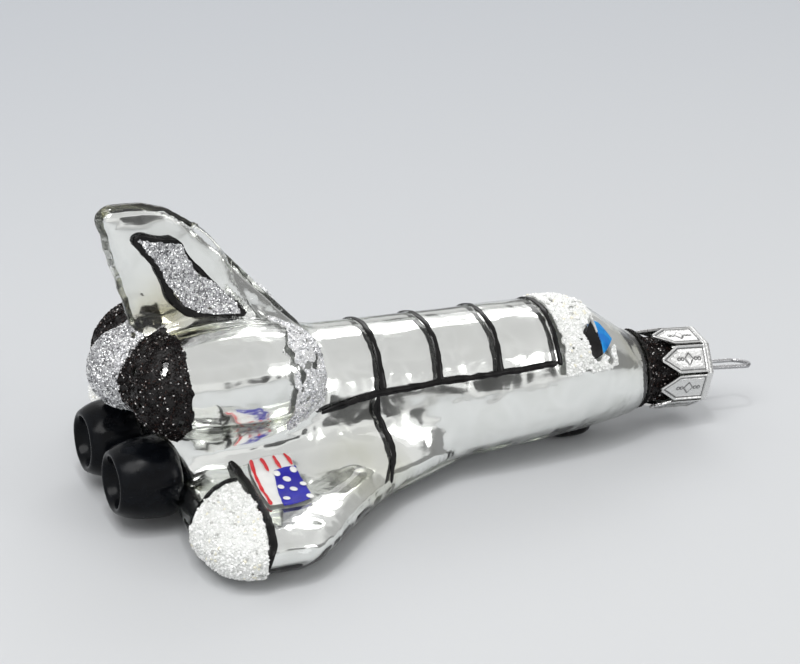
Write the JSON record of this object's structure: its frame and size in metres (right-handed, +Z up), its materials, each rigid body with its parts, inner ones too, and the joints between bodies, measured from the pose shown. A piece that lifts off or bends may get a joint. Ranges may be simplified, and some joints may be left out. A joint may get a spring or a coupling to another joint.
{
  "type": "blown glass space shuttle ornament",
  "caption": "Silvered blown-glass ornament shaped as a delta-winged space shuttle, with painted lines, glitter crusts, a petal cap and a wire hanging loop.",
  "frame": {"origin": "centre of the bounding box on the plane that the ornament stands on", "axes": "+X to the nose, where the cap and wire loop are; +Y to port; +Z up through the fin"},
  "size_m": [0.1144, 0.0676, 0.0476],
  "materials": {
    "silvered_glass": "mouth-blown glass silvered inside, mirror bright with soft waves",
    "black_enamel": "hand-painted gloss enamel",
    "blue_enamel": "clear blue lacquer over silver",
    "flag_paint": "white, red and blue enamel, satin",
    "white_glitter": "white and clear glitter in glue",
    "silver_glitter": "silver glitter in glue",
    "black_glitter": "black glitter in glue",
    "cap_metal": "pressed bright metal, embossed petals",
    "hanger_wire": "bright spring wire"
  },
  "bodies": {
    "glass": {"engine_cup_left": "black_enamel", "engine_cup_right": "black_enamel", "flag_panel": "flag_paint", "glass_body": "silvered_glass", "glitter_engine_top": "silver_glitter", "glitter_fin_left": "silver_glitter", "glitter_fin_right": "silver_glitter", "glitter_neck": "black_glitter", "glitter_nose": "white_glitter", "glitter_pod_end_left": "black_glitter", "glitter_pod_end_right": "black_glitter", "glitter_pod_front_left": "silver_glitter", "glitter_pod_front_right": "silver_glitter", "glitter_wingtip_left": "white_glitter", "glitter_wingtip_right": "white_glitter", "line_bay_hoop_1": "black_enamel", "line_bay_hoop_2": "black_enamel", "line_bay_hoop_3": "black_enamel", "line_bay_hoop_4": "black_enamel", "line_fin_left": "black_enamel", "line_fin_right": "black_enamel", "line_side_left": "black_enamel", "line_side_right": "black_enamel", "line_sill_left": "black_enamel", "line_sill_right": "black_enamel", "line_wing_left": "black_enamel", "line_wing_right": "black_enamel", "line_wingtip_front_left": "black_enamel", "line_wingtip_front_right": "black_enamel", "line_wingtip_rear_left": "black_enamel", "line_wingtip_rear_right": "black_enamel", "main_wheel_left": "black_enamel", "main_wheel_right": "black_enamel", "nose_wheel": "black_enamel", "pane_black_left": "black_enamel", "pane_black_right": "black_enamel", "pane_blue_left": "blue_enamel", "pane_blue_right": "blue_enamel"},
    "cap": {"petal_cap": "cap_metal"},
    "hanger": {"hanger_wire": "hanger_wire"}
  },
  "joints": [
    {"name": "cap_pull", "type": "slide", "parent": "glass", "child": "cap", "axis": [0.9969, 0, -0.0785], "range_m": [0, 0.022]},
    {"name": "hanger_slide", "type": "slide", "parent": "cap", "child": "hanger", "axis": [0.9969, 0, -0.0785], "range_m": [-0.002, 0.002]}
  ]
}
